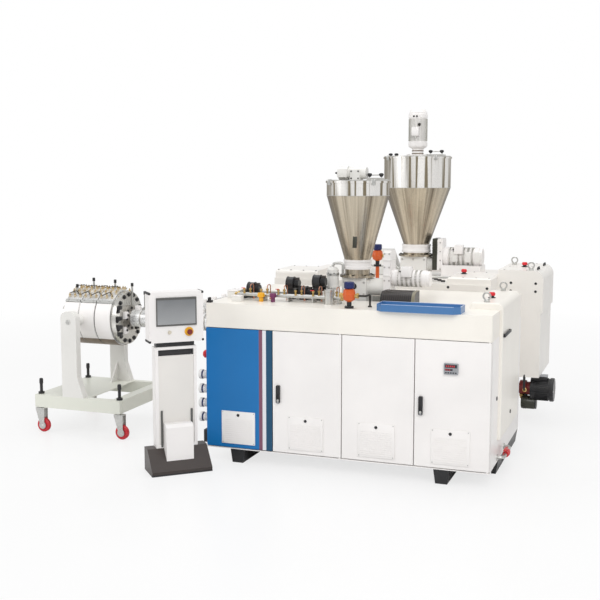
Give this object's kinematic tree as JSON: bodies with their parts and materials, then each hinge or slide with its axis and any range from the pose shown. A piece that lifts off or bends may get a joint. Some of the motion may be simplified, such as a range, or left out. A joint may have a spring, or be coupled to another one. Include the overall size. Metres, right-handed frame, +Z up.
{
  "type": "co-extrusion plastic pipe extruder station",
  "caption": "Plastic pipe extruder station: conical hoppers over panelled screw extruders, with a pipe die head on a castor trolley and a pedestal control console.",
  "frame": {"origin": "centre of the station's overall box, at floor level", "axes": "+Z up, +X towards the drive ends of the extruders, +Y from the front extruder's door side to the back extruder"},
  "size_m": [3.82, 3.3464, 2.57],
  "materials": {
    "cream_enamel": "smooth cream enamel",
    "white_enamel": "smooth warm white enamel",
    "grille_paint": "white enamel",
    "blue_enamel": "smooth blue enamel",
    "black_enamel": "satin black enamel",
    "black_plastic": "moulded black plastic",
    "grey_plastic": "moulded grey plastic",
    "satin_stainless": "satin stainless sheet",
    "zinc_steel": "zinc plated steel",
    "barrel_steel": "machined steel",
    "cast_aluminium": "cast aluminium",
    "orange_enamel": "orange enamel",
    "red_polyurethane": "red polyurethane",
    "screen_face": "glossy grey screen"
  },
  "bodies": {
    "station": {"back_barrel_cover": "cream_enamel", "back_cabinet": "cream_enamel", "back_drive_cover": "cream_enamel", "back_end_cover": "cream_enamel", "back_feeder": "satin_stainless", "back_feeder_motor": "white_enamel", "back_hopper": "satin_stainless", "back_hopper_lid": "satin_stainless", "back_skid": "black_enamel", "back_stirrer_motor": "white_enamel", "barrel_well": "zinc_steel", "blue_panel": "blue_enamel", "blue_panel_grille": "grille_paint", "blue_tray": "blue_enamel", "console_base": "black_enamel", "console_box": "white_enamel", "console_column": "white_enamel", "console_screen": "screen_face", "coupling_guard": "black_enamel", "cross_melt_pipe": "barrel_steel", "die_body": "barrel_steel", "die_heater_bands": "cast_aluminium", "die_posts": "white_enamel", "end_sockets": "white_enamel", "front_back_wall": "white_enamel", "front_barrel": "barrel_steel", "front_barrel_heaters": "cast_aluminium", "front_blowers": "black_enamel", "front_deck": "cream_enamel", "front_end_cover": "cream_enamel", "front_feeder": "satin_stainless", "front_feeder_motor": "white_enamel", "front_floor_pan": "white_enamel", "front_gearbox": "cream_enamel", "front_hopper": "satin_stainless", "front_hopper_lid": "satin_stainless", "front_partitions": "white_enamel", "front_skid": "black_enamel", "front_stirrer_motor": "white_enamel", "jack_screws": "black_enamel", "lifting_eyes": "zinc_steel", "melt_adapter": "barrel_steel", "middle_panel": "white_enamel", "oil_pump": "black_enamel", "trolley_frame": "white_enamel", "vent_hoods": "white_enamel", "vent_valves": "orange_enamel"},
    "left_door": {"left_door": "white_enamel", "left_door_handle": "black_plastic"},
    "right_door": {"right_door": "white_enamel", "right_door_handle": "black_plastic", "right_door_meter": "grey_plastic"},
    "castor_1": {"castor_fork_1": "zinc_steel"},
    "wheel_1": {"castor_wheel_1": "red_polyurethane"},
    "castor_2": {"castor_fork_2": "zinc_steel"},
    "wheel_2": {"castor_wheel_2": "red_polyurethane"},
    "castor_3": {"castor_fork_3": "zinc_steel"},
    "wheel_3": {"castor_wheel_3": "red_polyurethane"},
    "castor_4": {"castor_fork_4": "zinc_steel"},
    "wheel_4": {"castor_wheel_4": "red_polyurethane"}
  },
  "joints": [
    {"name": "left_door_hinge", "type": "hinge", "parent": "station", "child": "left_door", "pos_m": [0.695, -1.15083, 0.1], "axis": [0, 0, 1], "range_deg": [0, 110]},
    {"name": "right_door_hinge", "type": "hinge", "parent": "station", "child": "right_door", "pos_m": [1.695, -1.15083, 0.1], "axis": [0, 0, 1], "range_deg": [0, 110]},
    {"name": "castor_1_swivel", "type": "hinge", "parent": "station", "child": "castor_1", "pos_m": [-1.8825, -0.86933, 0.2], "axis": [0, 0, 1], "continuous": true},
    {"name": "wheel_1_spin", "type": "hinge", "parent": "castor_1", "child": "wheel_1", "pos_m": [-1.8505, -0.86933, 0.055], "axis": [0, 1, 0], "continuous": true},
    {"name": "castor_2_swivel", "type": "hinge", "parent": "station", "child": "castor_2", "pos_m": [-1.8825, -0.14433, 0.2], "axis": [0, 0, 1], "continuous": true},
    {"name": "wheel_2_spin", "type": "hinge", "parent": "castor_2", "child": "wheel_2", "pos_m": [-1.8505, -0.14433, 0.055], "axis": [0, 1, 0], "continuous": true},
    {"name": "castor_3_swivel", "type": "hinge", "parent": "station", "child": "castor_3", "pos_m": [-1.1775, -0.86933, 0.2], "axis": [0, 0, 1], "continuous": true},
    {"name": "wheel_3_spin", "type": "hinge", "parent": "castor_3", "child": "wheel_3", "pos_m": [-1.1455, -0.86933, 0.055], "axis": [0, 1, 0], "continuous": true},
    {"name": "castor_4_swivel", "type": "hinge", "parent": "station", "child": "castor_4", "pos_m": [-1.1775, -0.14433, 0.2], "axis": [0, 0, 1], "continuous": true},
    {"name": "wheel_4_spin", "type": "hinge", "parent": "castor_4", "child": "wheel_4", "pos_m": [-1.1455, -0.14433, 0.055], "axis": [0, 1, 0], "continuous": true}
  ]
}
